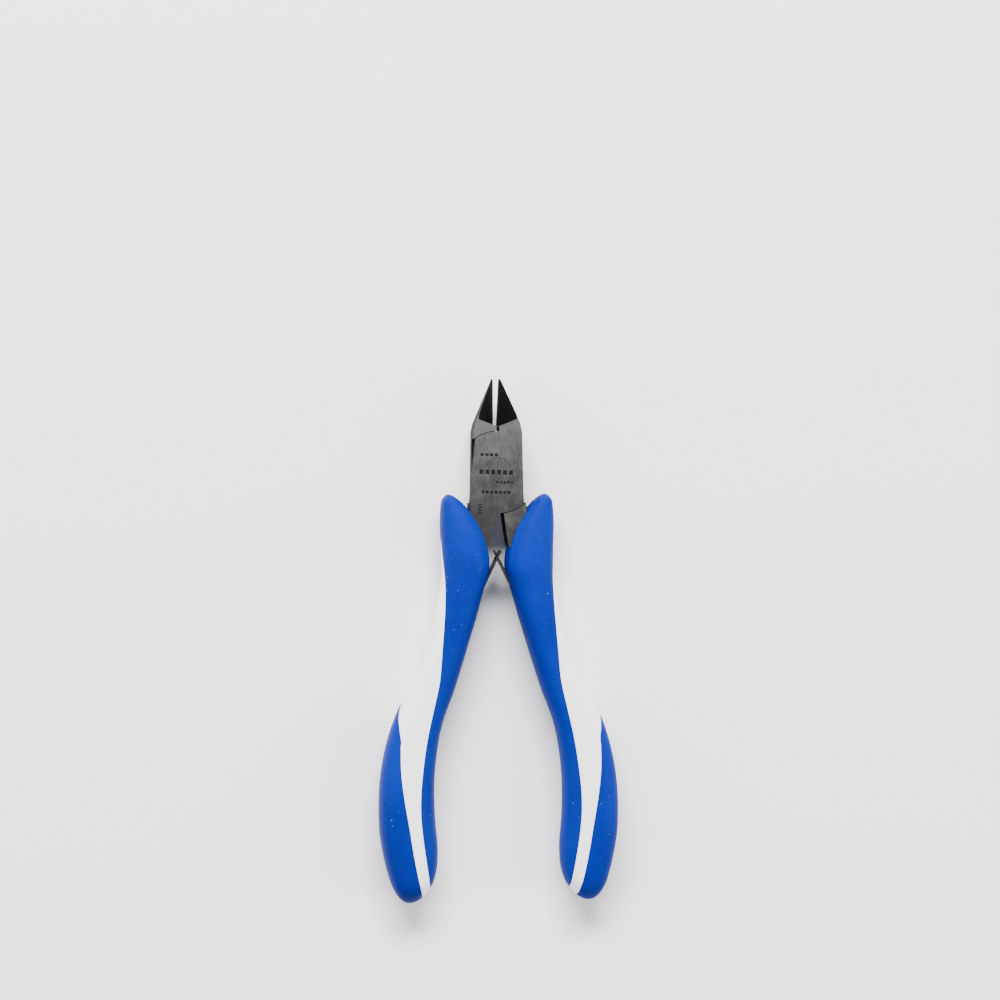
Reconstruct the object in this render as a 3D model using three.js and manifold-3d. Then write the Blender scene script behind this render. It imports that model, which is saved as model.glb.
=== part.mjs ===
import * as THREE from 'three';
import { mergeVertices } from 'three/addons/utils/BufferGeometryUtils.js';
import Module from 'manifold-3d';

// Sprue nippers in millimetres: lap joint, crossed leaf springs and two-colour grips.
// One half is drawn in line with the other, the pivot at the origin, the tips towards +Y, its
// jaw on -X and its tang and grip on +X. The other half is the same half turned about Y.
// Both are then turned apart about the pivot to the rest pose.

const wasm = await Module();
wasm.setup();

// Driving dimensions
const restTurn = 2.1; // degrees that each half turns from the line to the rest pose
const headHalf = 3.6; // half thickness of the head
const headHalfWidth = 5.75; // half width of the head at the pivot
const headTaper = 0.0535; // half width gained per millimetre towards the tangs
const jointRadius = 9.35; // round plates of the lap joint
const jawBaseHeight = 12.4; // where the straight jaw sides start
const jawBaseHalf = 4.25;
const tipHeight = 21.4;
const tipWidth = 0.42; // of each jaw
const edgeLean = 0.62; // degrees, so that the edges meet before the two halves are in line
const bevelAngle = 57.5; // degrees from the flush face of the jaws
const flushStart = 10.6; // from here to the tips the flush face rises
const flushRise = 2.8;
const landHeight = 0.5; // ground land behind each cutting edge
const notchHalf = 0.9; // half width of the notch between the tangs
const pivotRadius = 2.6;
const rivetFlare = 0.6; // how much the pivot rivet widens at each face
const tangWidth = 4.4; // inside the grip
const tangHalf = 2.6; // half thickness inside the grip
const tangShort = 8; // grip length left below the tang
const gripTop = -5.4;
const gripLength = 93.9;
const handleReach = 24.75; // centre line to the widest point of a grip
const gripHalf = 7.2; // half thickness of a grip at its belly
const skinWall = 1.4; // soft layer over the hard core
const coreDrop = 18.6; // from the top of the grip to the top of the core
const leafThickness = 0.45;
const leafHalfWidth = 2.0;
const leafFree = 5.8; // length of a leaf outside its grip
const tongueHalf = 0.8; // half width of the narrow end of one leaf
const springRivetRadius = 0.7;
const springRivetHead = 1.3;
const springRivetHeadHeight = 0.5;

// Clearances
const edgeGap = 0.05; // each cutting edge to the centre line
const lapGap = 0.1; // between the two plates of the joint
const shoulderGap = 0.15; // round a joint plate
const pivotGap = 0.08;
const moldGap = 0.3; // between molded pieces and what they hold
const leafGap = 0.15; // leaf to tang and rivet head to leaf
const slotGap = 0.3; // tongue to the prongs on each side
const leafRoom = 1.15; // middle of a leaf to each side of its slot in the grip

const sectionPower = 2.6; // superellipse power of the grip section
const circleSides = 48;
const gripSides = 18;
const gripRings = 24;
const degree = Math.PI / 180;

// Shape of a grip: share of its length from the top, then the value
const outerShare = [[0, 0.493], [0.028, 0.507], [0.071, 0.509], [0.135, 0.493], [0.21, 0.485],
  [0.274, 0.519], [0.349, 0.576], [0.424, 0.669], [0.499, 0.8], [0.585, 0.919], [0.671, 0.984],
  [0.767, 1], [0.842, 0.978], [0.907, 0.923], [0.96, 0.865], [1, 0.848]];
const innerShare = [[0, 0.388], [0.025, 0.295], [0.046, 0.22], [0.072, 0.149], [0.103, 0.095],
  [0.146, 0.052], [0.17, 0.04], [0.192, 0.05], [0.231, 0.09], [0.301, 0.152], [0.382, 0.233],
  [0.478, 0.334], [0.561, 0.436], [0.628, 0.477], [0.703, 0.493], [0.789, 0.477], [0.875, 0.442],
  [0.917, 0.448], [0.966, 0.497], [1, 0.537]];
const depthShare = [[0, 0.64], [0.05, 0.78], [0.135, 0.917], [0.264, 0.93], [0.424, 0.861],
  [0.585, 0.93], [0.746, 1], [0.885, 0.917], [1, 0.7]];
const stripeInnerShare = [[0.15, 0.52], [0.21, 0.467], [0.26, 0.461], [0.333, 0.469], [0.383, 0.477],
  [0.457, 0.493], [0.518, 0.535], [0.592, 0.587], [0.666, 0.62], [0.727, 0.634], [0.776, 0.63],
  [0.837, 0.6], [0.886, 0.566], [0.946, 0.521], [1, 0.485]];
const stripeOuterShare = [[0.53, 0.95], [0.594, 0.836], [0.631, 0.834], [0.668, 0.828], [0.741, 0.788],
  [0.814, 0.731], [0.887, 0.675], [0.947, 0.618], [1, 0.556]];
const topRound = 1.6;
const bottomRound = 5.5;

// A smooth curve through [share, value] pairs, read at a height y on the grip
function gripCurve(pairs, scale) {
  const shares = pairs.map((pair) => pair[0]);
  const values = pairs.map((pair) => pair[1] * scale);
  const curve = new THREE.CubicInterpolant(shares, values, 1);
  return (y) => curve.evaluate((gripTop - y) / gripLength)[0];
}

const gripBottom = gripTop - gripLength;
const gripOuter = gripCurve(outerShare, handleReach);
const gripInner = gripCurve(innerShare, handleReach);
const gripDepth = gripCurve(depthShare, gripHalf);
const stripeInner = gripCurve(stripeInnerShare, handleReach);
const stripeOuter = gripCurve(stripeOuterShare, handleReach);
const far = 2 * handleReach;
const gripMiddle = (y) => (gripInner(y) + gripOuter(y)) / 2;
const headEdge = (y) => headHalfWidth - headTaper * y;

// Joining and cutting

function solid(geometry) {
  geometry.deleteAttribute('normal');
  geometry.deleteAttribute('uv');
  const merged = mergeVertices(geometry, 1e-5);
  const vertProperties = new Float32Array(merged.attributes.position.array);
  const triVerts = new Uint32Array(merged.index.array);
  return new wasm.Manifold(new wasm.Mesh({ numProp: 3, vertProperties, triVerts }));
}

function geometryOf(manifold) {
  const mesh = manifold.getMesh();
  const geometry = new THREE.BufferGeometry();
  geometry.setAttribute('position', new THREE.BufferAttribute(new Float32Array(mesh.vertProperties), 3));
  geometry.setIndex(new THREE.BufferAttribute(new Uint32Array(mesh.triVerts), 1));
  geometry.computeVertexNormals();
  return geometry;
}

// A flat outline of [x, y] points, from the height low to the height high
function plate(points, low, high) {
  const outline = new THREE.Shape(points.map((point) => new THREE.Vector2(...point)));
  const geometry = new THREE.ExtrudeGeometry(outline, { depth: high - low, bevelEnabled: false });
  return solid(geometry.translate(0, 0, low));
}

function disc(radius, low, high) {
  const geometry = new THREE.CylinderGeometry(radius, radius, high - low, circleSides);
  geometry.rotateX(Math.PI / 2);
  return solid(geometry.translate(0, 0, (low + high) / 2));
}

// Heights from one to the other in even steps of about the length given
function heights(from, to, step) {
  const count = Math.max(1, Math.round(Math.abs(to - from) / step));
  return Array.from({ length: count + 1 }, (_, i) => from + ((to - from) * i) / count);
}

// Levers

const edgeLine = (y) => edgeGap - y * Math.tan(edgeLean * degree);

function jawOutline() {
  const shoulder = [[jawBaseHalf, jawBaseHeight], [jawBaseHalf + 0.55, jawBaseHeight - 1.2],
    [headEdge(jointRadius), jointRadius]];
  const inside = jointRadius / 2;
  const tip = edgeLine(tipHeight);
  const right = [[edgeLine(inside), inside], [tip, tipHeight], [tip + tipWidth, tipHeight], ...shoulder,
    [headEdge(inside), inside]];
  return right.map(([x, y]) => [-x, y]);
}

// Inner edge of the tang: straight down from the notch, then on the middle line of the grip
const tangEntry = gripTop - 0.12 * gripLength;
const tangBend = gripTop - 0.2 * gripLength;
const tangEnd = gripBottom + tangShort;
function tangInner(y) {
  const visible = notchHalf + 0.1 * (-jointRadius - y);
  if (y > tangEntry) return visible;
  const hidden = gripMiddle(y) - tangWidth / 2;
  const blend = THREE.MathUtils.smoothstep(-y, -tangEntry, -tangBend);
  return THREE.MathUtils.lerp(visible, hidden, blend);
}

function tangOuter(y) {
  const hidden = gripMiddle(y) + tangWidth / 2;
  const blend = THREE.MathUtils.smoothstep(-y, -tangEntry, -tangBend);
  return THREE.MathUtils.lerp(headEdge(y), hidden, blend);
}

function tangOutline(grow) {
  const start = -jointRadius / 2;
  const down = heights(start, tangEnd - grow, 4);
  const inner = down.map((y) => [tangInner(y) - grow, y]);
  const outer = down.map((y) => [tangOuter(y) + grow, y]).reverse();
  return [...inner, ...outer];
}

function headOutline() {
  const top = jointRadius + 1;
  const edge = [[headEdge(top), top], [headEdge(-top), -top]];
  return [...edge, ...edge.map(([x, y]) => [-x, y]).reverse()];
}

// Everything on the grip side of the line where its lip covers the tang
const lipInset = 0.55;
function coveredOutline(shift) {
  const lip = heights(gripTop, gripTop - 0.15 * gripLength, 1.4);
  const line = lip.map((y) => [gripInner(y) + lipInset + shift, y]);
  const lowest = line[line.length - 1][1];
  return [...line, [-1, lowest], [-1, gripBottom], [handleReach, gripBottom], [handleReach, gripTop]];
}

// Leans a solid so that it follows the flush face, which lies at z = flushSide * headHalf
function followFlush(manifold, flushSide) {
  const slope = (-flushSide * flushRise) / (tipHeight - flushStart);
  return manifold.transform([1, 0, 0, 0, 0, 1, slope, 0, 0, 0, 1, 0, 0, 0, -slope * flushStart, 1]);
}

// What is ground off the flush side of a jaw
function flushCut(flushSide) {
  const beyond = [[-far, flushStart], [far, flushStart], [far, tipHeight + 1], [-far, tipHeight + 1]];
  const [low, high] = flushSide > 0 ? [headHalf, 3 * headHalf] : [-3 * headHalf, -headHalf];
  return followFlush(plate(beyond, low, high), flushSide);
}

// What the bevel takes off a jaw
function bevelCut(flushSide) {
  const rise = Math.tan(bevelAngle * degree);
  const reach = 2 * headHalfWidth;
  const start = landHeight - headHalf;
  const slope = [[reach, start + reach * rise], [-1, start - rise], [-1, start + reach * rise]];
  const outline = slope.map(([x, z]) => new THREE.Vector2(-x, -z * flushSide));
  const settings = { depth: tipHeight, bevelEnabled: false };
  const prism = new THREE.ExtrudeGeometry(new THREE.Shape(outline), settings);
  prism.rotateX(Math.PI / 2).translate(0, tipHeight + 1, 0);
  const wall = [[1, jawBaseHeight - 2.3], [-jawBaseHalf, jawBaseHeight], [-reach, jawBaseHeight + 2],
    [-reach, tipHeight + 1], [1, tipHeight + 1]];
  return followFlush(solid(prism), flushSide).intersect(plate(wall, -2 * headHalf, 2 * headHalf));
}

// The pivot rivet is a waisted pin, flush with both faces of the head
function pivotPin(grow) {
  const shank = pivotRadius + grow;
  const flare = shank + rivetFlare;
  const end = headHalf + (grow > 0 ? 1 : 0);
  const side = [[0, -end], [flare, -end], [flare, -headHalf], [shank, rivetFlare - headHalf],
    [shank, headHalf - rivetFlare], [flare, headHalf], [flare, end], [0, end]];
  const points = side.filter(([x, z], i) => i === 0 || x !== side[i - 1][0] || z !== side[i - 1][1]);
  const geometry = new THREE.LatheGeometry(points.map((p) => new THREE.Vector2(...p)), circleSides);
  return solid(geometry.rotateX(Math.PI / 2));
}

function lever(flushSide) {
  const full = plate(jawOutline(), -headHalf, headHalf).add(plate(tangOutline(0), -headHalf, headHalf));
  const recess = disc(jointRadius + shoulderGap, -lapGap / 2, headHalf + 1);
  const round = disc(jointRadius, -headHalf, -lapGap / 2);
  const joint = plate(headOutline(), -headHalf, -lapGap / 2).intersect(round);
  const covered = coveredOutline(0);
  const above = plate(covered, tangHalf, headHalf + 1);
  const below = plate(covered, -headHalf - 1, -tangHalf);
  return full.subtract(recess).add(joint).subtract(above).subtract(below)
    .subtract(bevelCut(flushSide)).subtract(flushCut(flushSide)).subtract(pivotPin(pivotGap))
    .subtract(springRivet(moldGap));
}

// Leaf springs

// Point and unit normal on the inner face of the tang, the normal pointing to the other handle
function tangFace(y) {
  const step = 0.5;
  const slope = (tangInner(y + step) - tangInner(y - step)) / (2 * step);
  const normal = new THREE.Vector2(-1, slope).normalize();
  return { point: new THREE.Vector2(tangInner(y), y), normal };
}

const springRivetHeight = gripTop - 0.325 * gripLength;
const leafRoot = [gripTop - 0.345 * gripLength, gripTop - 0.28 * gripLength];
const leafMouth = gripTop - 0.19 * gripLength; // height where a leaf leaves its grip
const crossingStart = leafMouth - 0.9; // from here up one leaf passes through the other

function leafPath() {
  const lift = leafGap + leafThickness / 2;
  const seated = heights(leafRoot[0], leafRoot[1], 2).map((y) => {
    const { point, normal } = tangFace(y);
    return point.addScaledVector(normal, lift);
  });
  const mouth = new THREE.Vector2(gripInner(leafMouth) - leafThickness / 2, leafMouth);
  const tip = mouth.clone().sub(seated[seated.length - 1]).setLength(leafFree).add(mouth);
  return [...seated, mouth, tip];
}

// The outline of a strip that follows a path
function stripOutline(path, half) {
  const normals = path.map((_, i) => {
    const before = path[Math.max(0, i - 1)];
    const after = path[Math.min(path.length - 1, i + 1)];
    const along = after.clone().sub(before).normalize();
    return new THREE.Vector2(-along.y, along.x);
  });
  const side = (reach) => path.map((p, i) => p.clone().addScaledVector(normals[i], reach));
  return [...side(half), ...side(-half).reverse()].map((p) => [p.x, p.y]);
}

// One leaf ends in two prongs and the other in a tongue that passes between them
function leafSpring(forked) {
  const path = leafPath();
  const strip = plate(stripOutline(path, leafThickness / 2), -leafHalfWidth, leafHalfWidth);
  const top = crossingStart + 2 * leafFree;
  const beyond = [[-far, crossingStart], [far, crossingStart], [far, top], [-far, top]];
  const hole = springRivet(leafGap);
  if (forked) {
    const slot = tongueHalf + slotGap;
    return strip.subtract(plate(beyond, -slot, slot)).subtract(hole);
  }
  const above = plate(beyond, tongueHalf, leafHalfWidth + 1);
  const below = plate(beyond, -leafHalfWidth - 1, -tongueHalf);
  return strip.subtract(above).subtract(below).subtract(hole);
}

// A pin whose axis is square to the tang, from one distance along the normal to another
function facePin(radius, from, to) {
  const { point, normal } = tangFace(springRivetHeight);
  const geometry = new THREE.CylinderGeometry(radius, radius, to - from, circleSides / 2);
  geometry.translate(0, (from + to) / 2, 0);
  geometry.rotateZ(normal.angle() - Math.PI / 2);
  return solid(geometry.translate(point.x, point.y, 0));
}

function springRivet(grow) {
  const seat = 2 * leafGap + leafThickness;
  const shank = facePin(springRivetRadius + grow, -tangWidth / 2 - grow, seat + 0.1);
  if (grow > 0) return shank;
  return shank.add(facePin(springRivetHead, seat, seat + springRivetHeadHeight));
}

// Grips

// A ball whose rings become superellipse sections of the grip, set in by a wall
function gripBody(inset, top) {
  const geometry = new THREE.SphereGeometry(1, gripSides, gripRings);
  const position = geometry.attributes.position;
  const bottom = gripBottom + inset;
  const rounded = (gap, radius) => Math.sqrt(1 - (1 - Math.min(1, gap / radius)) ** 2);
  for (let i = 0; i < position.count; i += 1) {
    const polar = Math.acos(THREE.MathUtils.clamp(position.getY(i), -1, 1));
    const y = top + ((bottom - top) * (1 - Math.cos(polar))) / 2;
    const end = rounded(top - y, topRound) * rounded(y - bottom, bottomRound);
    const width = ((gripOuter(y) - gripInner(y)) / 2 - inset) * end;
    const depth = (gripDepth(y) - inset) * end;
    const around = Math.atan2(position.getZ(i), position.getX(i));
    const power = (value) => Math.sign(value) * Math.abs(value) ** (2 / sectionPower);
    position.setXYZ(i, gripMiddle(y) + width * power(Math.cos(around)), y, depth * power(Math.sin(around)));
  }
  return solid(geometry);
}

// The part of the head that the lip of the grip closes on, with its clearance
function neck() {
  const full = headHalf + moldGap;
  const covered = plate(coveredOutline(moldGap), -full - 1, full + 1);
  return plate(tangOutline(moldGap), -full, full).subtract(covered);
}

function tangTunnel() {
  const half = tangHalf + moldGap;
  return plate(tangOutline(moldGap), -half, half);
}

// A slot that lets the leaf spring flex and clears the head of its rivet
function leafSlot() {
  const path = leafPath();
  const past = path[0].clone().sub(path[1]).setLength(moldGap);
  path.unshift(path[0].clone().add(past));
  const half = leafHalfWidth + moldGap;
  return plate(stripOutline(path, leafRoom), -half, half);
}

// Outline between two curves down the whole grip, for cutting it into its three materials
function bandOutline(left, right) {
  const down = heights(gripTop + 1, gripBottom - 1, 3.5);
  return [...down.map((y) => [left(y), y]), ...down.map((y) => [right(y), y]).reverse()];
}

const near = -headHalfWidth;
const stripeTop = gripTop - 0.15 * gripLength;
const palmTop = gripTop - 0.53 * gripLength;
const tall = 2 * gripHalf;
const seam = moldGap / 2;

function bandBelow(left, right, top) {
  const below = [[near, top], [far, top], [far, gripBottom - 2], [near, gripBottom - 2]];
  return plate(bandOutline(left, right), -tall, tall).intersect(plate(below, -tall, tall));
}

const palmBand = (shift) => bandBelow((y) => stripeOuter(y) + shift, () => far, palmTop - shift);
const outerBand = (shift) => bandBelow((y) => stripeInner(y) + shift, () => far, stripeTop - shift);

function hollows() {
  return neck().add(tangTunnel()).add(leafSlot());
}

function gripCore() {
  const sleeve = gripBody(skinWall, gripTop - coreDrop);
  const stripe = gripBody(0, gripTop).intersect(outerBand(seam)).subtract(palmBand(-seam));
  return sleeve.add(stripe).subtract(hollows());
}

function softLayer(band) {
  const room = gripBody(skinWall - moldGap, gripTop - coreDrop + moldGap);
  return band.subtract(room);
}

function gripSkin() {
  const layer = softLayer(gripBody(0, gripTop).subtract(outerBand(-seam)));
  return layer.subtract(hollows());
}

function gripPalm() {
  return softLayer(gripBody(0, gripTop).intersect(palmBand(seam)));
}

// Assembly

const finishes = {
  steel: { color: 0x8e8b86, roughness: 0.35, metalness: 1 },
  spring: { color: 0x2a2c30, roughness: 0.4, metalness: 1 },
  soft: { color: 0x0f55c4, roughness: 0.6, metalness: 0 },
  hard: { color: 0xe4e6e8, roughness: 0.35, metalness: 0 },
};

function part(name, manifold, finish) {
  const mesh = new THREE.Mesh(geometryOf(manifold), new THREE.MeshStandardMaterial(finishes[finish]));
  mesh.name = name;
  return mesh;
}

// The half's own flush face is the one that both cutting edges share once the half is placed
function nipperHalf(head, side, flushSide, forked) {
  const half = new THREE.Group();
  half.add(
    part(`${head}_lever`, lever(flushSide), 'steel'),
    part(`${side}_leaf_spring`, leafSpring(forked), 'spring'),
    part(`${side}_spring_rivet`, springRivet(0), 'spring'),
    part(`${side}_grip_core`, gripCore(), 'hard'),
    part(`${side}_grip_skin`, gripSkin(), 'soft'),
    part(`${side}_grip_palm`, gripPalm(), 'soft'),
  );
  return half;
}

const backHalf = nipperHalf('back', 'right', -1, false);
const backTurn = new THREE.Group();
backTurn.rotation.z = restTurn * degree;
backTurn.add(backHalf);

const frontHalf = nipperHalf('front', 'left', 1, true);
frontHalf.rotation.y = Math.PI;
const frontTurn = new THREE.Group();
frontTurn.rotation.z = -restTurn * degree;
frontTurn.add(frontHalf, part('pivot_rivet', pivotPin(0), 'steel'));

// The origin is at the middle of the footprint, on the surface that the nippers lie on
const nippers = new THREE.Group();
nippers.add(backTurn, frontTurn);
nippers.updateMatrixWorld(true);
const box = new THREE.Box3().setFromObject(nippers, true);
const centre = box.getCenter(new THREE.Vector3());
nippers.position.set(-centre.x, -centre.y, -box.min.z);

export default nippers;
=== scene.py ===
import math
import bpy
import bmesh
import numpy as np
from mathutils import Matrix, Vector


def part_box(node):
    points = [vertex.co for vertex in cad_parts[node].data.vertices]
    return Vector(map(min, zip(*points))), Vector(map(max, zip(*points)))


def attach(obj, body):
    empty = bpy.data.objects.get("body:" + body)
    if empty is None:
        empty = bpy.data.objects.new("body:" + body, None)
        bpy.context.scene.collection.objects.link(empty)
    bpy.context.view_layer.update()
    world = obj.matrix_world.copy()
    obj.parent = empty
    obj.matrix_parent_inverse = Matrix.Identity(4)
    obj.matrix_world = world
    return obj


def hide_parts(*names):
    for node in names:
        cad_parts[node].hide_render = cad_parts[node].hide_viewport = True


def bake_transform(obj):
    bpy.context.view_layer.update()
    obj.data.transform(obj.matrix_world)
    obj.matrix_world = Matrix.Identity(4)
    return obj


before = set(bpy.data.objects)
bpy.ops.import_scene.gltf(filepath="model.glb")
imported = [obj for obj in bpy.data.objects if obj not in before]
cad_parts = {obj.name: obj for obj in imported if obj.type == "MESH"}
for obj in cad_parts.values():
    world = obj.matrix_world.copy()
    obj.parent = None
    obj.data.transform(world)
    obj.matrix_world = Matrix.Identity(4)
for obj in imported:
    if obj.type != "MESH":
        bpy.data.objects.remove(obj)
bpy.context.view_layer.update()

mm = 0.001
weldStep = 1e-7                    # metres within which two corners are one
sliver = .001                      # a width in millimetres or an angle that counts as nothing

pivotLow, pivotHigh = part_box("pivot_rivet")
pivot = (pivotLow + pivotHigh) / 2
restTurn = math.radians(2.1)       # turn of each half from the drawn pose, both halves in line

# The half with its tang on +X, and the half that is the same one turned over about Y
sides = {
    "right": dict(sign=1, body="back_half", other="front_half", lever="back_lever"),
    "left": dict(sign=-1, body="front_half", other="back_half", lever="front_lever"),
}


# Lowest and highest corner of a node of the right half, in millimetres about the pivot: each
# point is turned back by the rest turn, to the drawn pose
def drawnBox(node):
    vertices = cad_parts[node].data.vertices
    points = np.empty(len(vertices) * 3)
    vertices.foreach_get("co", points)
    x, y, z = (points.reshape(-1, 3) - np.array(pivot)).T / mm
    turned = np.stack([x * math.cos(restTurn) + y * math.sin(restTurn),
                       y * math.cos(restTurn) - x * math.sin(restTurn), z])
    return turned.min(axis=1), turned.max(axis=1)


# A cubic through (share, value) pairs; the slope at each pair is the distance-weighted
# mean of the two chords that meet there
def smoothCurve(pairs, share):
    knots, values = np.array(pairs, float).T
    gaps = np.diff(knots)
    chords = np.diff(values) / gaps
    slopes = np.empty_like(values)
    slopes[1:-1] = (chords[:-1] * gaps[1:] + chords[1:] * gaps[:-1]) / (gaps[1:] + gaps[:-1])
    slopes[0] = 2 * chords[0] - slopes[1]
    slopes[-1] = 2 * chords[-1] - slopes[-2]
    k = np.clip(np.searchsorted(knots, share) - 1, 0, len(gaps) - 1)
    h = gaps[k]
    t = (share - knots[k]) / h
    rise = t * t * (3 - 2 * t)
    early = t * (1 - t) ** 2
    late = t * t * (t - 1)
    between = values[k] * (1 - rise) + values[k + 1] * rise
    return between + h * (slopes[k] * early + slopes[k + 1] * late)


# From drawn-pose millimetres about the pivot to metres in the frame at rest: a half with its
# tang on -X is the same half turned about Y, and each half is then turned to the rest pose
def placed(points, sign):
    x, y, z = (points[..., i] * mm for i in range(3))
    x, z = x * sign, z * sign
    turn = restTurn * sign
    turnedX = x * math.cos(turn) - y * math.sin(turn)
    turnedY = x * math.sin(turn) + y * math.cos(turn)
    return np.stack([turnedX + pivot.x, turnedY + pivot.y, z + pivot.z], axis=-1)


# Quads of a grid of vertices; where wrap is true the last column meets the first
def gridFaces(rows, columns, wrap=False, start=0):
    row, column = np.mgrid[0:rows - 1, 0:columns if wrap else columns - 1].reshape(2, -1)
    following = (column + 1) % columns
    near, far = start + row * columns, start + (row + 1) * columns
    return np.stack([near + column, near + following, far + following, far + column], axis=1)


# An outer and an inner grid of the same size and the walls between their four edges
def shellMesh(outer, inner):
    rows, columns = outer.shape[:2]
    count = rows * columns
    index = np.arange(count).reshape(rows, columns)
    rim = np.concatenate([index[0], index[1:, -1], index[-1, -2::-1], index[-2:0:-1, 0]])
    after = np.roll(rim, -1)
    walls = np.stack([rim, rim + count, after + count, after], axis=1)
    faces = [gridFaces(rows, columns), gridFaces(rows, columns, start=count)[:, ::-1], walls]
    return np.concatenate([outer.reshape(-1, 3), inner.reshape(-1, 3)]), np.concatenate(faces)


# Vertices at one place become one vertex, faces that fold to a line go, and so do two faces
# on the same corners, which are the two sides of a wall with nothing between them
def welded(vertices, faces):
    places = np.round(np.asarray(vertices) / weldStep).astype(np.int64)
    _, first, index = np.unique(places, axis=0, return_index=True, return_inverse=True)
    faces = index.reshape(-1)[faces]
    ordered = np.sort(faces, axis=1)
    corners = 1 + (np.diff(ordered, axis=1) != 0).sum(axis=1)
    _, group, count = np.unique(ordered, axis=0, return_inverse=True, return_counts=True)
    faces = faces[(corners > 2) & (count[group.reshape(-1)] == 1)]
    return np.asarray(vertices)[first], [list(dict.fromkeys(face)) for face in faces.tolist()]


# A mesh object with its faces turned outwards, smooth but for sharp edges
def addPiece(name, vertices, faces, sharp=40):
    vertices, faces = welded(vertices, faces)
    mesh = bpy.data.meshes.new(name)
    mesh.from_pydata(vertices.tolist(), [], faces)
    shape = bmesh.new()
    shape.from_mesh(mesh)
    bmesh.ops.dissolve_degenerate(shape, edges=shape.edges, dist=weldStep)
    loose = [vertex for vertex in shape.verts if not vertex.link_faces]
    bmesh.ops.delete(shape, geom=loose, context="VERTS")
    bmesh.ops.recalc_face_normals(shape, faces=shape.faces)
    openEdges = sum(1 for edge in shape.edges if len(edge.link_faces) != 2)
    shape.to_mesh(mesh)
    shape.free()
    mesh.shade_smooth()
    mesh.set_sharp_from_angle(angle=math.radians(sharp))
    piece = bpy.data.objects.new(name, mesh)
    bpy.context.collection.objects.link(piece)
    print(f"  {name}: {len(mesh.polygons)} faces, {openEdges} open edges")
    return piece


def softenEdges(piece, width, angle=40):
    bevel = piece.modifiers.new("edges", "BEVEL")
    bevel.width = width
    bevel.segments = 2
    bevel.limit_method = "ANGLE"
    bevel.angle_limit = math.radians(angle)
    return bevel


# A socket that takes part in expressions: each operator adds one Math node
class Value:
    def __init__(self, graph, socket):
        self.graph = graph
        self.socket = socket

    def math(self, operation, *others):
        inputs = dict(enumerate((self, *others)))
        return self.graph.node("ShaderNodeMath", {"operation": operation}, inputs)

    def __add__(self, other):
        return self.math("ADD", other)

    __radd__ = __add__

    def __sub__(self, other):
        return self.math("SUBTRACT", other)

    def __rsub__(self, other):
        return self.graph.node("ShaderNodeMath", {"operation": "SUBTRACT"}, {0: other, 1: self})

    def __mul__(self, other):
        return self.math("MULTIPLY", other)

    __rmul__ = __mul__

    def __lt__(self, other):
        return self.math("LESS_THAN", other)

    def __gt__(self, other):
        return self.math("GREATER_THAN", other)

    def __abs__(self):
        return self.math("ABSOLUTE")

    def __mod__(self, other):
        return self.math("FLOORED_MODULO", other)

    def most(self, other):
        return self.math("MAXIMUM", other)


class Graph:
    def __init__(self, name):
        self.material = bpy.data.materials.new(name)
        self.material.use_nodes = True
        self.tree = self.material.node_tree
        self.tree.nodes.clear()
        self.here = self.node("ShaderNodeTexCoord", output="Object")

    # One node: its settings first, then its sockets' values or links
    def node(self, kind, settings=None, inputs=None, output=0):
        made = self.tree.nodes.new(kind)
        for key, value in (settings or {}).items():
            setattr(made, key, value)
        for key, value in (inputs or {}).items():
            self.connect(self.find(made.inputs, key), value)
        return None if output is None else Value(self, self.find(made.outputs, output))

    def find(self, sockets, key):
        if isinstance(key, int):
            return sockets[key]
        for socket in sockets:
            if socket.identifier == key or (socket.name == key and socket.enabled):
                return socket
        raise KeyError(key)

    def connect(self, socket, value):
        if isinstance(value, Value):
            self.tree.links.new(value.socket, socket)
        elif isinstance(value, tuple) and len(value) == 3 and socket.type == "RGBA":
            socket.default_value = (*value, 1)
        else:
            socket.default_value = value

    def noise(self, scale, detail=3, roughness=0.5, stretch=(1, 1, 1), place=None):
        inputs = {"Vector": place or self.here, "Scale": stretch}
        stretched = self.node("ShaderNodeMapping", inputs=inputs)
        inputs = {"Vector": stretched, "Scale": scale, "Detail": detail, "Roughness": roughness}
        return self.node("ShaderNodeTexNoise", {"noise_dimensions": "3D"}, inputs, "Fac")

    # 0 below low and 1 above high, with a soft step between them
    def step(self, value, low, high):
        settings = {"interpolation_type": "SMOOTHSTEP"}
        inputs = {"Value": value, "From Min": low, "From Max": high}
        return self.node("ShaderNodeMapRange", settings, inputs, "Result")

    def mix(self, factor, first, second):
        inputs = {"Factor_Float": factor, "A_Color": first, "B_Color": second}
        return self.node("ShaderNodeMix", {"data_type": "RGBA"}, inputs, "Result_Color")

    def bump(self, height, strength, distance):
        inputs = {"Height": height, "Strength": strength, "Distance": distance}
        return self.node("ShaderNodeBump", inputs=inputs, output="Normal")

    def finish(self, **sockets):
        names = dict(color="Base Color", roughness="Roughness", metallic="Metallic",
                     normal="Normal", specular="Specular IOR Level")
        inputs = {names[key]: value for key, value in sockets.items()}
        shader = self.node("ShaderNodeBsdfPrincipled", inputs=inputs, output="BSDF")
        self.node("ShaderNodeOutputMaterial", inputs={"Surface": shader}, output=None)
        return self.material


def wear(piece, material):
    piece.data.materials.clear()
    piece.data.materials.append(material)


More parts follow.
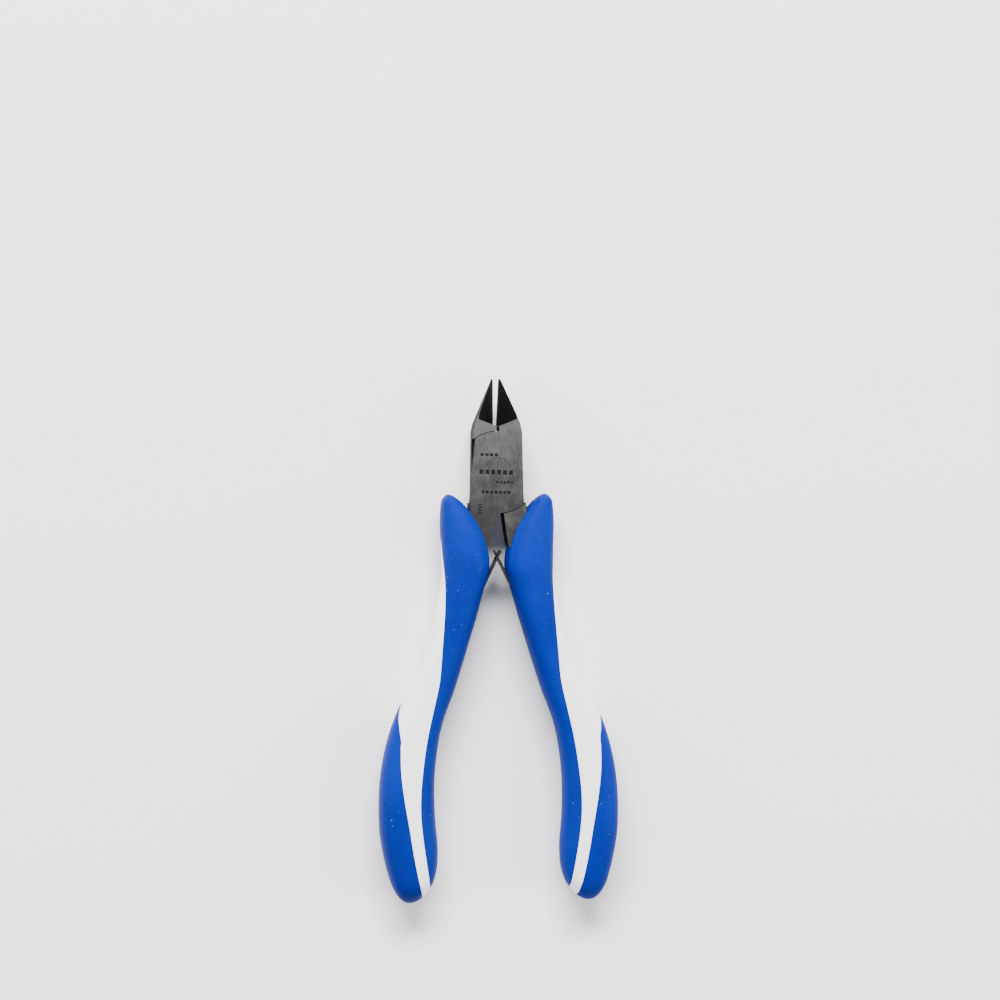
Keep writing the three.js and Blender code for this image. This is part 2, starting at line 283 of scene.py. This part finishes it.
grip = dict(
    # share of the length from the top, then share of the reach or of the half thickness
    outer=[(0, .493), (.028, .507), (.071, .509), (.135, .493), (.21, .485), (.274, .519),
           (.349, .576), (.424, .669), (.499, .8), (.585, .919), (.671, .984), (.767, 1),
           (.842, .978), (.907, .923), (.96, .865), (1, .848)],
    inner=[(0, .388), (.025, .295), (.046, .22), (.072, .149), (.103, .095), (.146, .052),
           (.17, .04), (.192, .05), (.231, .09), (.301, .152), (.382, .233), (.478, .334),
           (.561, .436), (.628, .477), (.703, .493), (.789, .477), (.875, .442), (.917, .448),
           (.966, .497), (1, .537)],
    depth=[(0, .64), (.05, .78), (.135, .917), (.264, .93), (.424, .861), (.585, .93), (.746, 1),
           (.885, .917), (1, .7)],
    stripeInner=[(.15, .53), (.21, .467), (.26, .461), (.333, .469), (.383, .477), (.457, .493),
                 (.518, .535), (.592, .587), (.666, .62), (.727, .634), (.776, .63), (.837, .6),
                 (.886, .566), (.946, .521), (1, .485)],
    stripeOuter=[(.5, .9), (.535, .862), (.565, .848), (.594, .838), (.631, .834), (.668, .828),
                 (.741, .788), (.814, .731), (.887, .675), (.947, .618), (1, .556)],
    # share of the length, then half width in millimetres of the tip that each seam starts as
    stripeTip=[(.105, 0), (.12, .85), (.15, 2.1), (.18, 3.25), (.21, 4.25), (.25, 5.32)],
    palmTip=[(.512, 0), (.522, 1.45), (.534, 2.75), (.547, 3.85), (.563, 4.98), (.58, 5.7),
             (.61, 6.31)],
    innerPower=2.4,        # superellipse power of the section towards the other handle
    outerPower=3.0,        # and away from it
    topRound=1.9,          # radius of the rounded ends
    bottomRound=5.5,
    coreDrop=18.6,         # top of the grip to the top of the hard core
    wall=1.4,              # soft layer over the core
    seam=.05,              # between two finishes on the surface
    lipHeight=.28,         # rolled edge where the steel comes out
    lipWidth=.42,
    lipStart=(.01, .03),   # share where it starts, then the share over which it rises
    lipStop=(.2, .05),     # share where it stops, then the share over which it falls
    lipSide=.2,            # it lies where x, as a share of the half width, is less than this
    tipLead=.005,          # share by which the rows start above a tip
    rowStep=.62,
    roundRows=14,          # rows over each rounded end
    skinColumns=120,
    palmColumns=60,
    coreColumns=(40, 24),  # over the stripe or under the skin, then under the palm
    softEdge=.16,          # rounding of each piece where it meets the next
    keptIn=.01,            # the surface is kept this far inside the CAD box
    reachKeptIn=.05,
)

_, skinHigh = drawnBox("right_grip_skin")
palmLow, palmHigh = drawnBox("right_grip_palm")
headHalf = (pivotHigh.z - pivotLow.z) / 2 / mm
gripTop = skinHigh[1]
gripBottom = palmLow[1] + grip["keptIn"]
reach = palmHigh[0] - grip["reachKeptIn"]
gripHalf = palmHigh[2] - grip["keptIn"]


# Distance below the top as a share of the grip's length
def gripShare(y):
    return np.clip((gripTop - y) / (gripTop - gripBottom), 0, 1)


# The value's size raised to the power, with the value's sign
def signedPower(value, power):
    return np.sign(value) * np.abs(value) ** power


# Middle, half width and half thickness of the grip at the heights y. Towards both ends they
# shrink as a quarter circle does, from the round's radius to nothing. Set in by a distance
def gripSection(y, inset, top, bottom):
    share = gripShare(y)
    outer = smoothCurve(grip["outer"], share) * reach
    inner = smoothCurve(grip["inner"], share) * reach
    depth = smoothCurve(grip["depth"], share) * gripHalf

    def rounded(gap, radius):
        return np.sqrt(np.clip(1 - (1 - np.clip(gap / radius, 0, 1)) ** 2, 0, 1))

    end = rounded(top - y, grip["topRound"]) * rounded(y - bottom, grip["bottomRound"])
    return (outer + inner) / 2, ((outer - inner) / 2 - inset) * end, (depth - inset) * end


# Points of the grip at heights y and angles around, both arrays of one grid. The section is a
# superellipse, |x/width|^p + |z/depth|^p = 1, with one power on each side of its middle. The
# lip is a bell curve of z, centred one lip width over the steel, raised along the normal
def gripSurface(y, around, inset=0, top=None, lip=0):
    top = gripTop - inset if top is None else top
    bottom = gripBottom + inset
    y = np.clip(y, bottom, top)
    middle, width, depth = gripSection(y, inset, top, bottom)
    power = np.where(np.cos(around) > 0, grip["outerPower"], grip["innerPower"])
    across = signedPower(np.cos(around), 2 / power)
    through = signedPower(np.sin(around), 2 / power)
    x = middle + width * across
    z = depth * through
    if lip:
        normal = np.stack([signedPower(across, power - 1) / np.maximum(width, .1),
                           signedPower(through, power - 1) / np.maximum(depth, .1)])
        normal /= np.linalg.norm(normal, axis=0) + 1e-9
        share = gripShare(y)
        start, rise = grip["lipStart"]
        stop, fall = grip["lipStop"]
        along = np.clip((share - start) / rise, 0, 1) * np.clip((stop - share) / fall, 0, 1)
        rim = np.exp(-((np.abs(z) - headHalf - grip["lipWidth"]) / grip["lipWidth"]) ** 2)
        raised = lip * rim * along * (across < grip["lipSide"])
        x = x + normal[0] * raised
        z = z + normal[1] * raised
    return np.stack([x, y, z], axis=-1)


# The angle where the surface passes a curve down the grip. Near its top the seam is the tip
# instead: the angle where the surface has the tip's half width, from nothing at its start
def seamAngle(y, pairs, tip, shift):
    share = gripShare(y)
    middle, width, depth = gripSection(y, 0, gripTop, gripBottom)
    line = smoothCurve(pairs, np.maximum(share, pairs[0][0])) * reach + shift
    across = np.clip((line - middle) / np.maximum(width, sliver), -1, 1)
    power = np.where(across > 0, grip["outerPower"], grip["innerPower"])
    curve = np.arccos(signedPower(across, power / 2))
    half = smoothCurve(tip, np.clip(share, tip[0][0], tip[-1][0])) - shift
    half = np.clip(half / np.maximum(depth, sliver), 0, 1) * (share > tip[0][0])
    return np.where(share < tip[-1][0], np.arcsin(half ** (grip["outerPower"] / 2)), curve)


# Heights down the grip, closer together over the rounded ends
def gripRows():
    quarter = 1 - np.cos(np.linspace(0, math.pi / 2, grip["roundRows"]))
    upper = gripTop - quarter * grip["topRound"]
    lower = gripBottom + quarter[::-1] * grip["bottomRound"]
    count = int((upper[-1] - lower[0]) / grip["rowStep"])
    return np.concatenate([upper, np.linspace(upper[-1], lower[0], count)[1:-1], lower])


# Angles in even steps from one seam to the other, row by row
def spread(first, last, columns):
    return first[:, None] + (last - first)[:, None] * np.linspace(0, 1, columns)


def skinSide(y, shift):
    return seamAngle(y, grip["stripeInner"], grip["stripeTip"], shift)


def palmSide(y, shift):
    return seamAngle(y, grip["stripeOuter"], grip["palmTip"], shift)


# A soft shell between two rows of angles, from the surface down to a seam over the core
def softShell(y, first, last, columns, sign):
    around = spread(first, last, columns)
    heights = np.broadcast_to(y[:, None], around.shape)
    outer = gripSurface(heights, around, lip=grip["lipHeight"])
    inner = gripSurface(heights, around, grip["wall"] - grip["seam"],
                        gripTop - grip["coreDrop"] + grip["seam"])
    return shellMesh(placed(outer, sign), placed(inner, sign))


# The core is one closed skin: raised to the surface along the stripe, front and back, and one
# wall lower under the two soft shells, but not where a shell has closed up to nothing
def coreGrid(y):
    half = grip["seam"] / 2
    outerEdge = palmSide(y, -half)
    innerEdge = np.maximum(skinSide(y, half), outerEdge)
    turn = 2 * math.pi
    never = np.zeros(len(y), bool)
    many, few = grip["coreColumns"]
    zones = [(outerEdge, innerEdge, many, never),
             (innerEdge, turn - innerEdge, many, innerEdge < math.pi - sliver),
             (turn - innerEdge, turn - outerEdge, many, never),
             (turn - outerEdge, turn + outerEdge, few, outerEdge > sliver)]
    bands = []
    for first, last, columns, low in zones:
        around = spread(first, last, columns)
        heights = np.broadcast_to(y[:, None], around.shape)
        raised = gripSurface(heights, around)
        lowered = gripSurface(heights, around, grip["wall"], gripTop - grip["coreDrop"])
        bands.append(np.where(low[:, None, None], lowered, raised))
    return np.concatenate(bands, axis=1)


# The rows from just above a tip downwards
def rowsFrom(heights, tip):
    return heights[gripShare(heights) > grip[tip][0][0] - grip["tipLead"]]


def addGrip(side):
    sign, body = sides[side]["sign"], sides[side]["body"]
    half = grip["seam"] / 2
    heights = gripRows()
    start = skinSide(heights, -half)
    skin = softShell(heights, start, 2 * math.pi - start, grip["skinColumns"], sign)

    palmHeights = rowsFrom(heights, "palmTip")
    start = palmSide(palmHeights, half)
    palm = softShell(palmHeights, -start, start, grip["palmColumns"], sign)

    points = placed(coreGrid(rowsFrom(heights, "stripeTip")), sign)
    core = points.reshape(-1, 3), gridFaces(*points.shape[:2], wrap=True)

    pieces = [(skin, f"{side}_grip_soft_skin", f"{side}_grip_skin", "soft_grip"),
              (palm, f"{side}_grip_soft_palm", f"{side}_grip_palm", "soft_grip"),
              (core, f"{side}_grip_hard_core", f"{side}_grip_core", "hard_grip")]
    for shape, name, replaced, slot in pieces:
        piece = addPiece(name, *shape)
        softenEdges(piece, grip["softEdge"] * mm)
        wear(piece, finishes[slot])
        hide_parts(replaced)
        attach(piece, body)


leaf = dict(
    thickness=.45,
    halfWidth=2.0,
    mouth=.19,             # share of the grip's length where a leaf comes out of it
    root=.345,             # and where it ends inside
    bend=.28,
    bendShift=.3,          # of the bend away from the straight line
    free=5.8,              # length outside the grip
    fork=2.3,              # length that is forked or narrowed, from the tip
    overlap=.2,            # of the prongs and the tongue over the plate, so that no corners meet
    tongueHalf=.8,
    slotHalf=1.1,
    rows=60,
    sharp=30,              # degrees between faces that keep a hard edge
    softEdge=.06,
)


# Middle line of a leaf: up inside the grip, then straight to the mouth and on to the tip
def leafLine():
    length = gripTop - gripBottom
    rootY, bendY, mouthY = (gripTop - leaf[key] * length for key in ("root", "bend", "mouth"))
    springLow, springHigh = drawnBox("right_leaf_spring")
    rootX = springHigh[0] - leaf["thickness"] / 2
    middle = smoothCurve(grip["inner"], gripShare(mouthY)) * reach
    mouth = np.array([middle - leaf["thickness"] / 2, mouthY])
    root = np.array([rootX, springLow[1]])
    bend = root + (mouth - root) * (bendY - rootY) / (mouthY - rootY)
    bend = bend + np.array([leaf["bendShift"], 0])
    tip = mouth + (mouth - bend) / np.linalg.norm(mouth - bend) * leaf["free"]
    return np.array([root, bend, mouth, tip])


# Length along a line of corners up to each of them
def lineLengths(corners):
    steps = np.linalg.norm(np.diff(corners, axis=0), axis=1)
    return np.concatenate([[0], np.cumsum(steps)])


# One strip of a leaf: a box section carried along a curve through the four corners, between
# two edges across and from one length to another, or to the tip
def leafStrip(low, high, start, stop):
    corners = leafLine()
    lengths = lineLengths(corners)
    along = np.linspace(start, stop if stop else lengths[-1], leaf["rows"])
    x = smoothCurve(np.stack([lengths, corners[:, 0]], axis=1), along)
    y = smoothCurve(np.stack([lengths, corners[:, 1]], axis=1), along)
    slope = np.stack([np.gradient(x), np.gradient(y)])
    slope /= np.linalg.norm(slope, axis=0)
    across = np.array([-1, -1, 1, 1])
    through = np.array([-1, 1, 1, -1]) * leaf["thickness"] / 2
    middle, half = (high + low) / 2, (high - low) / 2
    z = middle + half * across[None, :] * np.ones_like(along)[:, None]
    x = x[:, None] - slope[1][:, None] * through
    y = y[:, None] + slope[0][:, None] * through
    return np.stack([x, y, z], axis=-1)


# Sides of a tube of four-cornered sections, and its two ends
def tubeFaces(rows, start):
    last = start + 4 * (rows - 1)
    first = [start + 3, start + 2, start + 1, start]
    ends = np.array([first, [last, last + 1, last + 2, last + 3]])
    return np.concatenate([gridFaces(rows, 4, wrap=True, start=start), ends])


# A leaf is one plate as far as the fork or the tongue, then two prongs or one tongue
def addLeaf(side, forked):
    sign, body, other = (sides[side][key] for key in ("sign", "body", "other"))
    wide, tongue, slot = leaf["halfWidth"], leaf["tongueHalf"], leaf["slotHalf"]
    corners = leafLine()
    split = lineLengths(corners)[-1] - leaf["fork"]
    deep = split - leaf["overlap"]
    prongs = [(-wide, -slot), (slot, wide)] if forked else [(-tongue, tongue)]
    strips = [leafStrip(-wide, wide, 0, split)]
    strips += [leafStrip(*edges, deep, None) for edges in prongs]
    vertices = np.concatenate([placed(strip, sign).reshape(-1, 3) for strip in strips])
    starts = [4 * leaf["rows"] * i for i in range(len(strips))]
    faces = np.concatenate([tubeFaces(leaf["rows"], start) for start in starts])
    piece = addPiece(f"{side}_leaf", vertices, faces, leaf["sharp"])
    softenEdges(piece, leaf["softEdge"] * mm)
    wear(piece, finishes["spring_steel"])
    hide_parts(f"{side}_leaf_spring")

    # The bend's place in the frame is worked out but not used, and the leaf's placement is baked
    # into its mesh
    bendX, bendY, _ = placed(np.append(corners[1], 0), sign)
    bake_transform(piece)


# The shader's place in the drawn pose of its own half, in millimetres about the pivot
def drawnPlace(graph, sign):
    settings = {"vector_type": "TEXTURE"}
    inputs = {"Vector": graph.here, "Location": tuple(pivot),
              "Rotation": (0, 0, restTurn * sign), "Scale": (mm, mm, mm)}
    place = graph.node("ShaderNodeMapping", settings, inputs)
    x, y, z = (graph.node("ShaderNodeSeparateXYZ", inputs={"Vector": place}, output=axis)
               for axis in range(3))
    return place, x, y, z


steel = dict(
    bright=(.142, .139, .133),
    dull=(.045, .044, .043),
    oxide=(.0035, .0032, .003),
    oxideGrain=(.016, .014, .0125),
    engraved=(.004, .004, .0045),
    brushing=(11, .4, 11),     # streaks per millimetre across and along the head
    clouds=.33,                # patches and grains per millimetre
    fine=9,
    grain=4.2,
    rise=.012,                 # painted light: the ground steel is painted brighter towards the tips, as the light falls from there
    shadeRange=(.33, .78),
    flatBand=(.05, .02),       # depths under the face where the ground finish starts, and is full
    landWidth=.11,             # bright edge along each cutting edge
    landInset=.05,
    landStart=10.5,            # height where it starts
    edgeLean=.0108,            # lean of the cutting edges off the middle line
    wornBand=(.12, .06),       # depths under the face where worn edges start, and are full
    backLift=.1,               # the back lever is a little brighter
    relief=(.4, .00004),       # strength and depth of the bump
    etchedDepth=.06,
    filled=(.7, .62),          # filled share of a dash's length, in the rows and in the tall mark
    # left, right, low and high edge of each etched mark, then the length of its dashes
    marks=[(-4.2, .1, 3.6, 4.3, 1.1), (-4.3, 3.5, -.5, .55, 1.35), (-.4, 3.5, -2.55, -1.95, .85),
           (-3.7, 3.2, -4.9, -4.2, 1.0)],
    tallMark=(-4.3, -3.5, -9.6, -7.2, .62),
)
leverLook = dict(
    edge=.07,                  # rounding of the edges in millimetres
    join=2e-6,                 # metres within which corners are joined
    flat=1,                    # degrees between faces that count as one
    sharp=25,                  # degrees from which an edge is rounded
)


# 1 inside a box about its middle, and 0 outside
def insideBox(x, y, left, right, low, high):
    middleX, middleY = (left + right) / 2, (low + high) / 2
    return (abs(x - middleX) < (right - left) / 2) * (abs(y - middleY) < (high - low) / 2)


# Rows of plain etched dashes stand as generic marks
def etching(x, y):
    marks = 0
    rowFill, tallFill = steel["filled"]
    for left, right, low, high, period in steel["marks"]:
        dashes = ((x - left) % period) < period * rowFill
        marks = marks + insideBox(x, y, left, right, low, high) * dashes
    left, right, low, high, period = steel["tallMark"]
    dashes = ((y - low) % period) < period * tallFill
    return marks + insideBox(x, y, left, right, low, high) * dashes


def toolSteel(name, sign, etched):
    graph = Graph(name)
    place, x, y, z = drawnPlace(graph, sign)
    flat = graph.step(abs(z), *(headHalf - depth for depth in steel["flatBand"]))
    streaks = graph.noise(1, 4, .6, steel["brushing"], place)
    clouds = graph.noise(steel["clouds"], 3, .55, place=place)
    fine = graph.noise(steel["fine"], 2, .6, place=place)
    lift = 0 if etched else steel["backLift"]
    # Painted light: y * rise paints the ground steel brighter towards the tips, as the light
    # falls from there; the streaks, clouds and fine grain are the steel's own
    shade = streaks * .5 + clouds * .42 + fine * .12 + y * steel["rise"] + lift
    ground = graph.mix(graph.step(shade, *steel["shadeRange"]), steel["dull"], steel["bright"])
    grain = graph.noise(steel["grain"], 4, .75, place=place)
    oxide = graph.mix(graph.step(grain, .5, .72), steel["oxide"], steel["oxideGrain"])

    # Bare metal: the ground faces, the cutting edges and the worn edges
    fromEdge = x * -sign + y * steel["edgeLean"] - steel["landInset"]
    land = (abs(fromEdge) < steel["landWidth"]) * (y > steel["landStart"])
    worn = graph.step(abs(z), *(headHalf - depth for depth in steel["wornBand"]))
    worn = worn * graph.step(clouds, .45, .6)
    bare = flat.most(land * .6).most(worn * .4)
    color = graph.mix(bare, oxide, ground)
    if etched:
        marks = etching(x, y) * (z > headHalf - steel["etchedDepth"])
        color = graph.mix(marks * graph.step(fine, .28, .4), color, steel["engraved"])
        bare = bare * (1 - marks * .9)
    relief = streaks * .5 * bare + grain * (1 - bare) * 1.8
    roughness = .36 + (1 - bare) * .2 + fine * .12
    return graph.finish(color=color, metallic=bare * .9, roughness=roughness, specular=.06,
                        normal=graph.bump(relief, *steel["relief"]))


spring = dict(
    dark=(.012, .013, .017),
    pale=(.035, .034, .036),
    blotches=900,              # per metre
    fine=9000,
)


def springSteel(name):
    graph = Graph(name)
    blotch = graph.noise(spring["blotches"], 3)
    fine = graph.noise(spring["fine"], 3, .6)
    color = graph.mix(graph.step(blotch, .35, .7), spring["dark"], spring["pale"])
    return graph.finish(color=color, metallic=.75, roughness=.3 + fine * .25,
                        normal=graph.bump(fine, .2, .00002))


soft = dict(
    deep=(0, .009, .152),
    lively=(0, .0145, .208),
    dust=(.2, .35, .6),
    clouds=60,                 # per metre
    grain=6500,
    skin=1300,
    specks=1900,
)


def softGrip(name):
    graph = Graph(name)
    clouds = graph.noise(soft["clouds"], 4, .55)
    grain = graph.noise(soft["grain"], 2, .5)
    skin = graph.noise(soft["skin"], 3, .55)
    dust = graph.step(graph.noise(soft["specks"], 1, .4), .79, .81)
    rubbed = graph.step(clouds * .7 + skin * .3, .35, .68)
    blue = graph.mix(rubbed, soft["deep"], soft["lively"])
    color = graph.mix(dust * .6, blue, soft["dust"])
    return graph.finish(color=color, roughness=.46 + rubbed * .1 + grain * .12, specular=.06,
                        normal=graph.bump(grain * .7 + skin * .5, .22, .00006))


hard = dict(
    cool=(.78, .81, .86),
    warm=(.86, .86, .84),
    scuffed=(.6, .61, .62),
    clouds=45,                 # per metre
    fine=4200,
    scuffs=500,
)


def hardGrip(name):
    graph = Graph(name)
    clouds = graph.noise(hard["clouds"], 3, .5)
    fine = graph.noise(hard["fine"], 3, .6)
    scuffs = graph.step(graph.noise(hard["scuffs"], 4, .7, (1, .2, 1)), .63, .76)
    white = graph.mix(clouds, hard["cool"], hard["warm"])
    color = graph.mix(scuffs * .3, white, hard["scuffed"])
    return graph.finish(color=color, roughness=.24 + fine * .12 + scuffs * .12, specular=.5,
                        normal=graph.bump(fine, .1, .00003))


# A CAD lever keeps its mesh: its triangles are joined, flat faces made whole, and edges eased
def addLever(side, etched):
    name = sides[side]["lever"]
    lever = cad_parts[name]
    wear(lever, toolSteel(f"{name}_steel", sides[side]["sign"], etched))
    lever.modifiers.new("join", "WELD").merge_threshold = leverLook["join"]
    flatten = lever.modifiers.new("flatten", "DECIMATE")
    flatten.decimate_type = "DISSOLVE"
    flatten.angle_limit = math.radians(leverLook["flat"])
    edges = softenEdges(lever, leverLook["edge"] * mm, leverLook["sharp"])
    edges.harden_normals = True


finishes = dict(
    soft_grip=softGrip("soft_grip_blue"),
    hard_grip=hardGrip("hard_grip_white"),
    spring_steel=springSteel("blued_spring_steel"),
)
print("materials ready")

for side in sides:
    addGrip(side)
print("grips ready")

addLeaf("left", forked=True)
addLeaf("right", forked=False)
for side in sides:
    wear(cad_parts[f"{side}_spring_rivet"], finishes["spring_steel"])
print("leaf springs ready")

addLever("left", etched=True)
addLever("right", etched=False)
# The rivet is ground flush with the front lever and wears its steel
wear(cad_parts["pivot_rivet"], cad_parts["front_lever"].active_material)
print("head ready")


stage = dict(
    floorSize=8.0,
    floorColor=(.82, .82, .815),
    specks=400,                # per metre
    speckShade=.985,
    skyColor=(.93, .96, 1),
    skyStrength=.62,
    # place from the middle of the object, width and height in metres, then watts
    lights=dict(
        top_soft=((-.1, .8, .8), (.8, .3), 46),
        left_strip=((-.85, .1, .5), (.2, .8), 6),
        right_strip=((.85, -.1, .45), (.2, .8), 9),
    ),
)


def plainSurface(name, color, roughness):
    graph = Graph(name)
    speck = graph.noise(stage["specks"], 3)
    shade = graph.mix(speck, tuple(channel * stage["speckShade"] for channel in color), color)
    return graph.finish(color=shade, roughness=roughness)


def addFloor():
    half = stage["floorSize"] / 2
    corners = [(-half, -half, 0), (half, -half, 0), (half, half, 0), (-half, half, 0)]
    floor = addPiece("floor", corners, [(0, 1, 2, 3)])
    wear(floor, plainSurface("pale_floor", stage["floorColor"], .7))


# An area light that faces the middle of the object
def addLight(name, offset, size, power):
    data = bpy.data.lights.new(name, "AREA")
    data.shape = "RECTANGLE"
    data.size, data.size_y = size
    data.energy = power
    light = bpy.data.objects.new(name, data)
    target = Vector((0, 0, pivot.z))
    light.location = target + Vector(offset)
    light.rotation_euler = (target - light.location).to_track_quat("-Z", "Y").to_euler()
    bpy.context.collection.objects.link(light)


def addWorld():
    world = bpy.data.worlds.new("studio")
    world.use_nodes = True
    background = world.node_tree.nodes["Background"]
    background.inputs["Color"].default_value = (*stage["skyColor"], 1)
    background.inputs["Strength"].default_value = stage["skyStrength"]
    bpy.context.scene.world = world


view = dict(
    distance=700,              # millimetres from the lens to the middle of the grips
    yaw=-6.6,                  # degrees to the left of straight on, above it, and tilted
    pitch=.8,
    roll=.35,
    middle=(0, -38.6),         # from the pivot
    offset=(.6, 32.2),         # middle of the view from there
    width=229.7,               # of the view at that distance
    sensor=36,
    farthest=20,               # metres
)


def addCamera():
    yaw, pitch, roll = (math.radians(view[key]) for key in ("yaw", "pitch", "roll"))
    turn = Matrix.Rotation(-yaw, 3, "Y")
    turn = Matrix.Rotation(roll, 3, "Z") @ Matrix.Rotation(pitch, 3, "X") @ turn
    axes = turn.transposed()
    data = bpy.data.cameras.new("camera")
    data.sensor_width = view["sensor"]
    data.lens = data.sensor_width * view["distance"] / view["width"]
    data.clip_end = view["farthest"]
    camera = bpy.data.objects.new("camera", data)
    middle = pivot + Vector((*view["middle"], 0)) * mm
    place = middle + axes @ Vector((*view["offset"], view["distance"])) * mm
    camera.matrix_world = Matrix.LocRotScale(place, axes.to_quaternion(), None)
    bpy.context.collection.objects.link(camera)
    bpy.context.scene.camera = camera


addFloor()
for name, (offset, size, power) in stage["lights"].items():
    addLight(name, offset, size, power)
addWorld()
addCamera()
print("stage ready")
